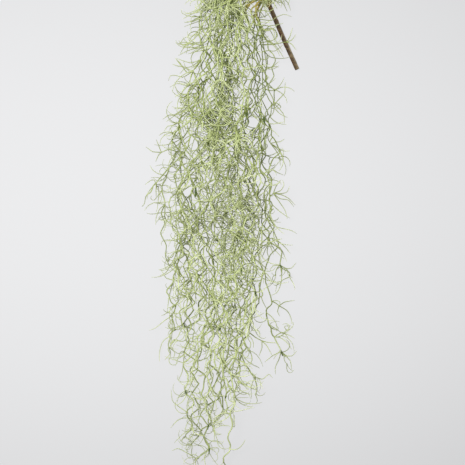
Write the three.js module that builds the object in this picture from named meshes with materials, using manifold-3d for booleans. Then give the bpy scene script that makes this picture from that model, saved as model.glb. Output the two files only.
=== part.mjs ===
// A bunch of Spanish moss, laid down on its back on a flat surface. A brown stick ends in a knob, the crown,
// and green sprays leave the crown's short arms, arch over and trail away as one long tapering bunch. Each
// spray forks into wavy strands that bend at every knot, and thin curled leaves stand out at the bends.
//
// Millimetres, +Z up from the surface, +Y from the bunch's tip towards its crown. The layout is worked out
// round the crown, and the finished part is then moved so that the origin is under its middle.

import * as THREE from "three";
import Module from "manifold-3d";

const wasm = await Module();
wasm.setup();

// ---- Driving dimensions ----

const SEED = 20270;
const GAP = 0.3; // between pieces that touch
const CLEAR = 0.6; // least room between two sprays

const STEM = {
  radius: 2.9, // to the middle of a side
  sides: 10,
  foot: [46, -101], // the cut end, seen from the crown
  flat: 22, // length of the end that lies on the surface
  steps: 12,
};

const CROWN = { height: 24, radius: 7.6, length: 19, armRadius: 1.5, armReach: 17, sides: 12, socket: 7 };

// The bunch's outline: how far down from the crown, how far its middle lies to the side, its half width between
// the outer strands' lanes, and the height of the pile.
const OUTLINE = [
  [0, -45, 40, 44],
  [110, -47, 50, 56],
  [190, -55, 61, 66],
  [275, -62, 76, 72],
  [400, -62, 62, 64],
  [500, -72, 56, 46],
  [670, -81, 56, 22],
];

// How far down the bunch the strands of its left, middle and right end: the shortest and the longest.
const ENDS = { left: [370, 525], middle: [400, 684], right: [400, 600] };
const MIDDLE = 0.52; // the share of the half width that counts as the middle

// Single strands that stray out of the bunch near their ends: the spray and strand, where it ends, and how far
// to the side.
const STRAYS = [
  { spray: 4, strand: 1, reach: 165, aside: 24 },
  { spray: 8, strand: 1, reach: 302, aside: -36 },
  { spray: 0, strand: 1, reach: 405, aside: 40 },
  { spray: 4, strand: 0, reach: 530, aside: 56 },
];

// Sprays lie in three tiers, from the surface up: how many, how high in the pile, how steeply their arms rise,
// and how much of the bunch's width they cover.
const TIERS = [
  { sprays: 4, level: 0.08, rise: -35, breadth: 1.0 },
  { sprays: 5, level: 0.48, rise: 2, breadth: 1.02 },
  { sprays: 3, level: 0.88, rise: 38, breadth: 0.86 },
];
const ARM_NEAR = 258; // direction of the arm next to the stick, in degrees
const ARM_FAR = 96; // direction of the arm that arches furthest over

const STALK = { radius: 1.35, length: 9 }; // a spray's own stalk, before it forks
const FORK_SPREAD = 8; // degrees to each side

const STRAND = {
  radius: 1.0,
  entry: 60, // down from the crown, where an arching strand has reached its own lane
  spreading: 0.85, // below one, more of them lie towards the edges
  thinning: 0.6, // below one, more of the strands are long
  pitch: 17, // from knot to knot
  wave: 4.6, // how far each knot stands off the strand's middle line
  sway: 9, // slow wandering from side to side
  swayLength: 210,
  strayLength: 95,
  lift: 2,
  tries: 160,
  room: 1.4, // the room round a strand that is good enough
  apart: 0.3, // and the least from others of its own spray
};
const SECOND = { from: 90, to: 215, shortest: 60, merge: 75 }; // where strands fork off others, and how soon they part

// A leaf grows from one face of its strand, just past a knot. One that finds no room is left out.
const LEAF = {
  foot: 1.7, // along the strand
  rootRadius: 0.8,
  radius: 0.5, // at its bend
  shortest: 26,
  longest: 42,
  tries: 10,
  share: 0.6, // of the knots
  apart: 0.2,
};

// ---- Small helpers ----

const TURN = Math.PI / 180;
const vec = (x, y, z) => new THREE.Vector3(x, y, z);
const smooth = (t) => THREE.MathUtils.smoothstep(t, 0, 1);
const mix = THREE.MathUtils.lerp;
const clamp = THREE.MathUtils.clamp;

// The point some way from p.
const from = (p, direction, distance) => p.clone().addScaledVector(direction, distance);

// The part of v that lies square to an axis, made one long.
const squared = (v, axis) => from(v, axis, -v.dot(axis)).normalize();

// A repeatable stream of numbers from 0 to 1, one for each set of keys.
function stream(...keys) {
  let state = SEED;
  const next = () => {
    state = (state * 1664525 + 1013904223) % 4294967296;
    return state / 4294967296;
  };
  for (const key of keys) {
    state = (state + key * 2654435) % 4294967296;
    next();
    next();
  }
  return next;
}

function outlineAt(down) {
  const last = OUTLINE.length - 1;
  let i = 0;
  while (i < last - 1 && down > OUTLINE[i + 1][0]) i++;
  const [a, b] = [OUTLINE[i], OUTLINE[i + 1]];
  const t = smooth((down - a[0]) / (b[0] - a[0]));
  return { middle: mix(a[1], b[1], t), half: mix(a[2], b[2], t), height: mix(a[3], b[3], t) };
}

// Least distance between the segments p-q and r-s.
function segmentGap(p, q, r, s) {
  const d1 = q.clone().sub(p);
  const d2 = s.clone().sub(r);
  const between = p.clone().sub(r);
  const [a, b, c, e, f] = [d1.dot(d1), d1.dot(d2), d1.dot(between), d2.dot(d2), d2.dot(between)];
  const spread = a * e - b * b;
  const first = spread > 1e-9 ? clamp((b * f - c * e) / spread, 0, 1) : 0;
  const u = clamp((b * first + f) / e, 0, 1);
  const t = clamp((b * u - c) / a, 0, 1);
  return from(p, d1, t).distanceTo(from(r, d2, u));
}

// ---- Solids ----

// Which way a tube runs at each point, with two directions across it. They turn no more than the tube does,
// or keep the first one as near `up` as they can.
function framesAlong(points, up = null) {
  let normal = null;
  return points.map((_, i) => {
    const before = points[Math.max(0, i - 1)];
    const after = points[Math.min(points.length - 1, i + 1)];
    const along = after.clone().sub(before).normalize();
    if (up || !normal) normal = up || (Math.abs(along.z) < 0.8 ? vec(0, 0, 1) : vec(1, 0, 0));
    normal = squared(normal, along);
    return { normal, side: along.clone().cross(normal) };
  });
}

function across(frame, angle) {
  return frame.normal.clone().multiplyScalar(Math.cos(angle)).addScaledVector(frame.side, Math.sin(angle));
}

// The corners of a ring round a tube. Side k lies between corners k and k + 1.
function ringAt(centre, frame, radius, sides) {
  return Array.from({ length: sides }, (_, k) =>
    from(centre, across(frame, ((2 * k + 1) / sides - 1) * Math.PI), radius));
}

// Gathers corners and faces, and closes them into a solid.
class Skin {
  corners = [];
  faces = [];

  // Adds corners and gives back their numbers.
  add(points) {
    const first = this.corners.length;
    this.corners.push(...points);
    return points.map((_, i) => first + i);
  }

  face(...numbers) {
    for (let i = 1; i + 1 < numbers.length; i++) this.faces.push(numbers[0], numbers[i], numbers[i + 1]);
  }

  // A band from one ring to the next, or to a single point. It leaves out one side, if that is given.
  band(ring, next, open = -1) {
    ring.forEach((a, k) => {
      const l = (k + 1) % ring.length;
      if (next.length === 1) this.face(a, ring[l], next[0]);
      else if (k !== open) this.face(a, ring[l], next[l], next[k]);
    });
  }

  // Made near zero and then moved into place, so that its faces stay true to the last digit.
  solid() {
    const home = this.corners[0];
    const position = new Float32Array(this.corners.flatMap((p) => p.clone().sub(home).toArray()));
    const mesh = new wasm.Mesh({ numProp: 3, vertProperties: position, triVerts: new Uint32Array(this.faces) });
    return new wasm.Manifold(mesh).translate(home.toArray());
  }
}

// A tube through the points, with a radius at each.
function sweep(points, radii, sides, up = null) {
  const skin = new Skin();
  const frames = framesAlong(points, up);
  const rings = points.map((p, i) => skin.add(ringAt(p, frames[i], radii[i], sides)));
  skin.face(...rings[0].toReversed());
  rings.slice(1).forEach((ring, i) => skin.band(rings[i], ring));
  skin.face(...rings[rings.length - 1]);
  return skin.solid();
}

function meshOf(name, solid, material) {
  const made = solid.getMesh();
  const geometry = new THREE.BufferGeometry();
  geometry.setAttribute("position", new THREE.BufferAttribute(new Float32Array(made.vertProperties), 3));
  geometry.setIndex(new THREE.BufferAttribute(new Uint32Array(made.triVerts), 1));
  geometry.computeVertexNormals();
  const mesh = new THREE.Mesh(geometry, material);
  mesh.name = name;
  return mesh;
}

const materials = {
  stick: new THREE.MeshStandardMaterial({ color: 0x6e5a45, roughness: 0.7, metalness: 0 }),
  crown: new THREE.MeshStandardMaterial({ color: 0x93833a, roughness: 0.6, metalness: 0 }),
  moss: new THREE.MeshStandardMaterial({ color: 0x9aab66, roughness: 0.55, metalness: 0 }),
};

// ---- The stick and the crown ----

const crownCentre = vec(0, 0, CROWN.height);
const stemFoot = vec(STEM.foot[0], STEM.foot[1], 0);
const stemReach = stemFoot.length();

// The stick's middle line, from its cut end (0) to the crown's centre (1). It lies flat, and then rises.
function stemAt(share) {
  const climb = smooth(Math.max(0, share * stemReach - STEM.flat) / (2 * (stemReach - STEM.flat)));
  return stemFoot.clone().multiplyScalar(1 - share).setZ(STEM.radius + 2 * climb * (CROWN.height - STEM.radius));
}
const stemAxis = crownCentre.clone().sub(stemAt(0.94)).normalize();
const stemCorner = STEM.radius / Math.cos(Math.PI / STEM.sides);

function makeStem() {
  const seat = 1 - (CROWN.length / 2 - CROWN.socket + GAP) / stemReach;
  const points = Array.from({ length: STEM.steps + 1 }, (_, i) => stemAt((seat * i) / STEM.steps));
  return sweep(points, points.map(() => stemCorner), STEM.sides, vec(0, 0, 1));
}

function makeCrown(sprays) {
  const bulge = [0.62, 0.95, 1, 0.9, 0.45]; // the knob's radius along its length, as shares of the widest
  const at = (share) => from(crownCentre, stemAxis, (share - 0.5) * CROWN.length);
  const points = bulge.map((_, i) => at(i / (bulge.length - 1)));
  let solid = sweep(points, bulge.map((b) => b * CROWN.radius), CROWN.sides);
  for (const spray of sprays) {
    solid = solid.add(sweep([crownCentre, spray.armEnd], [CROWN.armRadius * 1.25, CROWN.armRadius], 6));
  }
  const hole = stemCorner + 2 * GAP;
  const bottom = at(CROWN.socket / CROWN.length);
  return solid.subtract(sweep([stemAt(0.88), at(0), bottom], [hole, hole, hole], 12, vec(0, 0, 1)));
}

// ---- The sprays' layout ----

// Every spray's arm, and its strands' own places: where each lies across the bunch, and how far down it ends.
function planSprays() {
  const sprays = [];
  for (const tier of TIERS) {
    for (let i = 0; i < tier.sprays; i++) {
      const number = sprays.length;
      const bearing = mix(ARM_NEAR, ARM_FAR, (i + 0.5) / tier.sprays) * TURN;
      const rise = tier.rise * TURN;
      const direction = vec(Math.cos(bearing) * Math.cos(rise), Math.sin(bearing) * Math.cos(rise), Math.sin(rise));
      const armEnd = from(crownCentre, direction, CROWN.armReach);
      const start = from(armEnd, direction, GAP);
      const fork = from(start, direction, STALK.length);
      const count = number % 3 === 0 ? 4 : 3;
      const strands = Array.from({ length: count }, (_, k) => {
        const even = 1 - (2 * (i + (k + 0.5) / count)) / tier.sprays;
        return {
          number: k,
          place: tier.breadth * Math.sign(even) * Math.pow(Math.abs(even), STRAND.spreading),
          level: tier.level + (k % 2 ? 0.07 : -0.05) + (i % 2 ? 0.05 : -0.03),
          aside: 0,
        };
      });
      sprays.push({ number, direction, armEnd, start, fork, strands });
    }
  }
  const draw = stream(1);
  for (const [side, [nearest, furthest]] of Object.entries(ENDS)) {
    const strands = sprays.flatMap((spray) => spray.strands).filter((strand) => sideOf(strand) === side);
    const shuffled = strands.map((strand) => ({ strand, key: draw() })).sort((a, b) => a.key - b.key);
    shuffled.forEach(({ strand }, i) => {
      strand.reach = mix(nearest, furthest, Math.pow((i + 0.5) / strands.length, STRAND.thinning));
    });
  }
  for (const { spray, strand, reach, aside } of STRAYS) Object.assign(sprays[spray].strands[strand], { reach, aside });
  return sprays;
}

function sideOf({ place }) {
  if (Math.abs(place) < MIDDLE) return "middle";
  return place < 0 ? "left" : "right";
}

// A strand's own lane, at some distance down the bunch, before it wanders.
function laneAt(strand, down) {
  const { middle, half, height } = outlineAt(down);
  const dome = Math.sqrt(1 - 0.7 * strand.place * strand.place);
  const astray = strand.aside ? smooth(1 - (strand.reach - down) / STRAND.strayLength) : 0;
  const up = Math.max(0, strand.level) * height * dome * (1 - 0.5 * astray);
  return vec(middle + strand.place * half + strand.aside * astray, -down, STRAND.lift + up);
}

// A slow wandering off the lane, which grows along the strand.
function wandering(draw) {
  const phases = [draw(), draw(), draw()].map((p) => 2 * Math.PI * p);
  const lengths = [draw(), draw()].map((p) => mix(0.8, 1.25, p) * STRAND.swayLength);
  const ripple = (down, length, phase) => Math.sin((2 * Math.PI * down) / length + phase);
  return (down, grown) => {
    const size = STRAND.sway * smooth(grown / 90);
    const x = ripple(down, lengths[0], phases[0]) + 0.45 * ripple(down, 0.42 * lengths[0], phases[1]);
    return vec(size * x, 0, 0.55 * size * ripple(down, lengths[1], phases[2]));
  };
}

// The middle line of a strand that leaves the spray's stalk and arches over to its lane.
function archingLine(spray, strand, side, draw) {
  const heading = spray.direction.clone().applyAxisAngle(vec(0, 0, 1), side * FORK_SPREAD * TURN);
  heading.z *= 0.4;
  const entry = laneAt(strand, STRAND.entry);
  const far = (1 - strand.place) / 2;
  const arch = new THREE.CubicBezierCurve3(
    spray.fork,
    from(spray.fork, heading, mix(8, 32, far)),
    from(entry, vec(0, 1, 0), mix(18, 72, far)),
    entry,
  );
  const length = arch.getLength();
  const wander = wandering(draw);
  return {
    start: from(spray.fork, spray.direction, -1.5),
    length: length + strand.reach - STRAND.entry,
    at(along) {
      if (along < length) return arch.getPoint(along / length);
      const down = STRAND.entry + along - length;
      return laneAt(strand, down).add(wander(down, down - STRAND.entry));
    },
  };
}

// The middle line of a strand that forks off another at one of its knots and parts from it slowly.
function forkingLine(strand, knot, draw) {
  const top = -knot.y;
  const offset = knot.clone().sub(laneAt(strand, top));
  const wander = wandering(draw);
  return {
    start: knot,
    length: strand.reach - top,
    at(along) {
      const together = 1 - smooth(along / SECOND.merge);
      return from(laneAt(strand, top + along), offset, together).add(wander(top + along, along));
    },
  };
}

// The strand's knots: each stands off the middle line, to one side and then to the other.
function layKnots(line, draw) {
  const knots = [line.start.clone()];
  const outward = [vec(0, 0, 1)];
  const first = 2 * Math.PI * draw();
  let along = STRAND.pitch * 0.8;
  for (let j = 1; along < line.length; j++) {
    const heading = line.at(along + 1).sub(line.at(along - 1)).normalize();
    const level = heading.clone().cross(vec(0, 0, 1)).normalize();
    const raised = level.clone().cross(heading);
    const angle = first + j * Math.PI + (draw() - 0.5) * 1.9;
    const out = level.multiplyScalar(Math.cos(angle)).addScaledVector(raised, 0.7 * Math.sin(angle));
    const knot = from(line.at(along), out, STRAND.wave * mix(0.6, 1.3, draw()) * smooth(along / 60));
    knot.z = Math.max(knot.z, STRAND.radius);
    knots.push(knot);
    outward.push(out.normalize());
    along += STRAND.pitch * mix(0.75, 1.25, draw());
  }
  return { knots, outward };
}

// ---- Keeping the sprays clear of each other ----

const taken = []; // every stretch laid so far, with its ends, its radius and what it belongs to

// A line's stretches from point to point. The last of the radii serves for the rest.
function stretchesOf(points, radii, owner) {
  return points.slice(1).map((q, i) => ({ p: points[i], q, radius: radii[Math.min(i, radii.length - 1)], owner }));
}

// The least room from some stretches to those that others have taken. It stops looking below `least`.
function roomAround(stretches, isOther, least) {
  let room = 20;
  for (const { p, q, radius } of stretches) {
    for (const other of taken) {
      if (!isOther(other)) continue;
      const near = room + radius + other.radius + p.distanceTo(q) + other.p.distanceTo(other.q);
      if (Math.abs(other.p.y - p.y) > near || Math.abs(other.p.x - p.x) > near) continue;
      room = Math.min(room, segmentGap(p, q, other.p, other.q) - radius - other.radius);
      if (room < least) return room;
    }
  }
  return room;
}

// A line without the beginning of its first stretch, where it grows out of its own spray.
const pastRoot = (points, share) => [points[0].clone().lerp(points[1], share), ...points.slice(1)];

// Lays one strand, drawn again until it is clear of the other sprays and, past its root, of its own.
function layStrand(spray, strand, makeLine) {
  const isOwn = (other) => other.owner === spray.number;
  const isOther = (other) => other.owner !== spray.number;
  let best = { room: -Infinity };
  for (let attempt = 0; attempt < STRAND.tries && best.room < STRAND.room; attempt++) {
    const draw = stream(2, spray.number, strand.number, attempt);
    const laid = layKnots(makeLine(draw), draw);
    const lines = [laid.knots, pastRoot(laid.knots, 0.8)].map((line) => stretchesOf(line, [STRAND.radius]));
    const slack = STRAND.room - STRAND.apart; // its own spray's strands may come this much nearer
    const toOthers = roomAround(lines[0], isOther, best.room);
    const room = Math.min(toOthers, roomAround(lines[1], isOwn, best.room - slack) + slack);
    if (room > best.room) best = { ...laid, room };
  }
  Object.assign(strand, best, { frames: framesAlong(best.knots) });
  taken.push(...stretchesOf(strand.knots, [STRAND.radius], spray.number));
}

function layStrands(spray) {
  const [first, second, third, fourth] = spray.strands;
  const forkOff = (strand, parent) => {
    const latest = Math.min(SECOND.to, strand.reach - SECOND.shortest);
    const down = mix(SECOND.from, latest, stream(3, spray.number, parent.number)());
    const knot = parent.knots.find((k) => -k.y > down);
    layStrand(spray, strand, (draw) => forkingLine(strand, knot, draw));
  };
  layStrand(spray, first, (draw) => archingLine(spray, first, 1, draw));
  layStrand(spray, third, (draw) => archingLine(spray, third, -1, draw));
  forkOff(second, first);
  if (fourth) forkOff(fourth, third);
}

// ---- Leaves ----

// Draws a leaf that fans out from the bend's outer side. It grows from the face of the strand that looks nearest
// to the way drawn, leans forward or back along the strand, and curls to one side.
function drawLeaf(strand, j, draw) {
  const frame = strand.frames[j];
  const onward = strand.knots[j + 1].clone().sub(strand.knots[j]).normalize();
  const outward = Math.atan2(strand.outward[j].dot(frame.side), strand.outward[j].dot(frame.normal));
  const wanted = outward + (draw() - 0.5) * 170 * TURN;
  const third = (2 * Math.PI) / 3;
  const nearest = Math.round((wanted - Math.PI) / third);
  const square = Math.PI + third * nearest; // side 2 looks away from the frame's normal
  const direction = squared(across(frame, square + clamp(wanted - square, -0.75, 0.75)), onward);
  const lean = mix(-25, 55, draw()) * TURN;
  direction.multiplyScalar(Math.cos(lean)).addScaledVector(onward, Math.sin(lean));
  const axis = direction.clone().cross(onward).normalize();
  axis.applyAxisAngle(direction, (draw() - 0.5) * 140 * TURN);
  const curl = (draw() < 0.5 ? -1 : 1) * mix(18, 58, draw()) * TURN;
  const half = mix(LEAF.shortest, LEAF.longest, draw()) / 2;
  const root = from(strand.knots[j], onward, LEAF.foot / 2);
  const bend = from(root, direction, half);
  bend.z = Math.max(bend.z, LEAF.radius);
  const tip = from(bend, direction.clone().applyAxisAngle(axis, curl), half);
  tip.z = Math.max(tip.z, 0);
  return { knot: j, side: (((nearest + 2) % 3) + 3) % 3, onward, points: [root, bend, tip] };
}

function layLeaves(spray, strand) {
  const isOwn = (other) => other.owner === spray.number;
  const isOther = (other) => other.owner !== spray.number;
  const radii = [LEAF.rootRadius, LEAF.radius];
  strand.leaves = [];
  for (let j = 1; j + 1 < strand.knots.length; j++) {
    if (stream(4, spray.number, strand.number, j)() > LEAF.share) continue;
    for (let attempt = 0; attempt < LEAF.tries; attempt++) {
      const leaf = drawLeaf(strand, j, stream(5, spray.number, strand.number, j, attempt));
      const free = stretchesOf(pastRoot(leaf.points, 0.3), radii);
      if (roomAround(free, isOwn, LEAF.apart) < LEAF.apart) continue;
      if (roomAround(stretchesOf(leaf.points, radii), isOther, CLEAR) < CLEAR) continue;
      taken.push(...stretchesOf(leaf.points, radii, spray.number));
      strand.leaves.push(leaf);
      break;
    }
  }
}

// ---- The sprays' solids ----

// Raises a leaf from the face between corners a and b of a knot's ring and corners c and d of the next. It narrows
// to three sides at its bend, and then to a point.
function raiseLeaf(skin, [a, b, c, d], { points: [root, bend, tip], onward }) {
  const along = bend.clone().sub(root).normalize().add(tip.clone().sub(bend).normalize()).normalize();
  const back = squared(onward.clone().negate(), along);
  const sideways = along.clone().cross(back);
  const corner = (x, y) => from(from(bend, back, x * LEAF.radius), sideways, y * LEAF.radius);
  const ring = skin.add([corner(1, 0), corner(-0.5, 0.866), corner(-0.5, -0.866)]);
  const [m, n, o] = ring;
  skin.face(a, b, m);
  skin.face(b, c, n, m);
  skin.face(c, d, o, n);
  skin.face(d, a, m, o);
  skin.band(ring, skin.add([tip]));
}

// A three-sided strand, drawn out to a point at its end, with its leaves.
function makeStrand({ knots, frames, leaves }) {
  const skin = new Skin();
  let ring = skin.add(ringAt(knots[0], frames[0], STRAND.radius, 3));
  skin.face(...ring.toReversed());
  for (let j = 1; j < knots.length; j++) {
    const isTip = j === knots.length - 1;
    const next = skin.add(isTip ? [knots[j]] : ringAt(knots[j], frames[j], STRAND.radius, 3));
    skin.band(ring, next);
    ring = next;
    const leaf = leaves.find(({ knot }) => knot === j);
    if (!leaf) continue;
    const normal = squared(frames[j].normal, leaf.onward);
    const frame = { normal, side: leaf.onward.clone().cross(normal) };
    const past = skin.add(ringAt(from(knots[j], leaf.onward, LEAF.foot), frame, STRAND.radius, 3));
    const [k, l] = [leaf.side, (leaf.side + 1) % 3];
    skin.band(ring, past, k);
    raiseLeaf(skin, [ring[k], ring[l], past[l], past[k]], leaf);
    ring = past;
  }
  return skin.solid();
}

function makeSpray({ start, fork, strands }) {
  const stalk = sweep([start, fork], [STALK.radius, STALK.radius], 5);
  const shells = wasm.Manifold.union([stalk, ...strands.map(makeStrand)]).decompose();
  return shells.reduce((a, b) => (a.volume() > b.volume() ? a : b)); // leaves out pockets closed in between strands
}

// ---- The part ----

const sprays = planSprays();

const stemLine = [0, 0.25, 0.5, 0.75, 1].map(stemAt);
const knob = [-0.4, 0.4].map((share) => from(crownCentre, stemAxis, share * CROWN.length));
taken.push(...stretchesOf(stemLine, [STEM.radius + GAP], "stem"), ...stretchesOf(knob, [CROWN.radius], "crown"));
for (const { number, armEnd, fork } of sprays) {
  taken.push(...stretchesOf([crownCentre, armEnd], [CROWN.armRadius * 1.25], "crown"));
  taken.push(...stretchesOf([armEnd, fork], [STALK.radius], number));
}
for (const spray of sprays) layStrands(spray);
for (const spray of sprays) for (const strand of spray.strands) layLeaves(spray, strand);

const bunch = new THREE.Group();
bunch.add(meshOf("stem", makeStem(), materials.stick));
bunch.add(meshOf("crown", makeCrown(sprays), materials.crown));
for (const spray of sprays) {
  const name = "spray_" + String(spray.number + 1).padStart(2, "0");
  bunch.add(meshOf(name, makeSpray(spray), materials.moss));
}

const box = new THREE.Box3().setFromObject(bunch);
const middle = box.getCenter(vec(0, 0, 0));
bunch.position.set(-middle.x, -middle.y, -box.min.z);
const part = new THREE.Group();
part.add(bunch);

export default part;
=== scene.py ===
"""The looks of a bunch of Spanish moss, laid down on a pale floor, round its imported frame.

The strands are laid by the same rule as in the part's source, with the same draws, so that every strand and leaf
of the frame has its finer self in the same place. Then come the leaves that the frame has no room for, the side
twigs, the cut stubs and the tuft round the crown.

The layout is in millimetres, measured from under the crown's centre. Meshes are moved into the frame and turned
into metres when they are made. A place given by two numbers is across and down from there.
"""

import math

import bpy
import numpy as np
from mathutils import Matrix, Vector


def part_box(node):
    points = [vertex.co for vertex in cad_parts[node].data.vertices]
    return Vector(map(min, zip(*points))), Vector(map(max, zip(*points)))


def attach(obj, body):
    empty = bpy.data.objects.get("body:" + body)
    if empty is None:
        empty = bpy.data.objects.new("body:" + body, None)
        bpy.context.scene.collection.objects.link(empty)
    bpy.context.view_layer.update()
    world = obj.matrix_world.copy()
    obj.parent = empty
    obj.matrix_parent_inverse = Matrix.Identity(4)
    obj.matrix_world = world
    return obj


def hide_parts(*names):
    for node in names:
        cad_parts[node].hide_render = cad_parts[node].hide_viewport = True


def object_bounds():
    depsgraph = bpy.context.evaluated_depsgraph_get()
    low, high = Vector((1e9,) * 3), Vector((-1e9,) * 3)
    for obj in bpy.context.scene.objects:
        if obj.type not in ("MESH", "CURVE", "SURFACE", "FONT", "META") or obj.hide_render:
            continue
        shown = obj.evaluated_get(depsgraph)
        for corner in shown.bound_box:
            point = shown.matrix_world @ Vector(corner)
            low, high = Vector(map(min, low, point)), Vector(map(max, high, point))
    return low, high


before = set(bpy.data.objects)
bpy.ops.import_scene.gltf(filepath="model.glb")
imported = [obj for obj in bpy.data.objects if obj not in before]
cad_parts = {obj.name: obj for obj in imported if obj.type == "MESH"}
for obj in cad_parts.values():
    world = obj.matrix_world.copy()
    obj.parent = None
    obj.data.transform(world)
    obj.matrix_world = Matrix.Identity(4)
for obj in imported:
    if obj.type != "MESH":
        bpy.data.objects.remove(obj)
CAD_BOX = [list(corner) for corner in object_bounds()]

# ---- The source's driving dimensions ----

SEED = 20270
GAP = 0.3
CLEAR = 0.6

STEM_RADIUS, STEM_SIDES, STEM_FOOT, STEM_FLAT = 2.9, 10, (46, -101), 22
CROWN_HEIGHT, CROWN_RADIUS, CROWN_LENGTH, CROWN_SOCKET = 24, 7.6, 19, 7
ARM_RADIUS, ARM_REACH = 1.5, 17

# down from the crown, middle, half width, height of the pile
OUTLINE = np.array([
    [0, -45, 40, 44],
    [110, -47, 50, 56],
    [190, -55, 61, 66],
    [275, -62, 76, 72],
    [400, -62, 62, 64],
    [500, -72, 56, 46],
    [670, -81, 56, 22],
], float)
ENDS = {"left": (370, 525), "middle": (400, 684), "right": (400, 600)}
MIDDLE = 0.52
# spray, strand, where it ends, how far aside
STRAYS = [(4, 1, 165, 24), (8, 1, 302, -36), (0, 1, 405, 40), (4, 0, 530, 56)]
# sprays, level, rise of the arms, breadth
TIERS = [(4, 0.08, -35, 1.0), (5, 0.48, 2, 1.02), (3, 0.88, 38, 0.86)]
ARM_NEAR, ARM_FAR = 258, 96
STALK_RADIUS, STALK_LENGTH = 1.35, 9
FORK_SPREAD = 8

STRAND_RADIUS = 1.0
ENTRY = 60
SPREADING, THINNING = 0.85, 0.6
PITCH, WAVE, LIFT = 17, 4.6, 2
SWAY, SWAY_LENGTH, STRAY_LENGTH = 9, 210, 95
STRAND_TRIES, STRAND_ROOM, STRAND_APART = 160, 1.4, 0.3
SECOND_FROM, SECOND_TO, SECOND_SHORTEST, SECOND_MERGE = 90, 215, 60, 75
ARCH_OUT, ARCH_BACK = (8, 32), (18, 72)  # how far a strand's arch is drawn at its ends, from right strands to left

LEAF_FOOT, LEAF_ROOT_RADIUS, LEAF_RADIUS = 1.7, 0.8, 0.5
LEAF_SHORTEST, LEAF_LONGEST = 26, 42
LEAF_TRIES, LEAF_SHARE, LEAF_APART = 10, 0.6, 0.2

STEM_OWNER, CROWN_OWNER, NOBODY = -1, -2, -9  # beside the sprays' own numbers
FAR = 20.0

# ---- What is finer here ----

STRAND_WIDTHS = [(0, 1.15), (40, 0.94), (160, 0.82), (420, 0.78), (560, 0.98)]  # radius, by distance along
KNEES = 0.65  # 1 for evenly rounded waves, less for sharper bends at the knots
WIDENING = 1.4  # how far a wave's knots are brought out
BEND = 1.5  # how far a strand sways to either side between two knots
LEAF_SWAY = 3.0  # how far the leaves of the frame do
STRAND_TIP = 0.42
STRAND_STEP = 2.6  # between a strand's rings
STRAND_RING = 7
STRAND_LEAST = 0.8  # how low its middle line may lie
THINNER_RIGHT = 0.24  # the share by which strands are thinner at the upper right
STALK_RADII = [1.38, 1.35, 1.3, 1.3, 1.3, 1.15]

BLADE_RINGS, BLADE_RING = 13, 5
BLADE_SHARES = np.linspace(0, 1, BLADE_RINGS)
BLADE_WIDTHS = [(0, 0.82), (0.06, 0.61), (0.5, 0.56), (0.85, 0.44), (1, 0.23)]  # radius, by share of the length

FAN_LEAVES = (-0.7, 3.8)  # at a knot, beside the frame's own leaf, from a bare stretch to a full one
FAN_LENGTHS = (15, 44)
FAN_SPREAD = 1.1  # radians round the strand, to each side of the bend's outer side
FAN_LEAN = (-35, 62)  # degrees, from the first leaf of a fan to the last
HANGING = 42  # degrees by which leaves at the upper left lie further along their strands
CURL, LOW_CURL = (26, 88), (34, 108)  # degrees to each side of the chord, near the crown and further down
HOOKS, HOOK = 0.22, (0.4, 1.3)  # the share of leaves that end in a hook, and its bend in radians
RECURVED = 0.55  # the share that curl back along their strand
FLATTER = np.array([1, 1, 0.7])  # leaves lie down rather than stand up
CURL_TILT = 110  # degrees: the range over which a curl tilts out of the flat
FAN_TRIES, LEAF_ROOM = 3, 0.2  # how often a leaf is drawn again if it has less room than this from the strands
LEAF_SIZES = (0.85, 1.1)
TONES_APART = 0.55  # the range over which the tones of leaves differ from their strand's
TWIG_SHARE = 0.3
TWIG_LENGTH = (9, 24)
TWIG_WIDTHS = [(0, 0.85), (0.15, 0.62), (1, 0.52)]
TWIG_RINGS, TWIG_RING = 7, 6
BRANCH_RADII = (0.85, 0.6)
STUB_LENGTH, STUB_RADIUS = (9, 12), 1.75
STUB_SHAPE = [0.5, 0.72, 0.92, 1.0, 0.96, 0.84, 0.7, 0.6, 0.5]
STUBS = [
    (-15, 168), (8, 174), (-87, 273), (-36, 384), (-4, 412), (28, 378), (-55, 458),
    (-115, 455), (-113, 547), (-53, 563), (-78, 607), (25, 511), (-91, 633),
]
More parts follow.
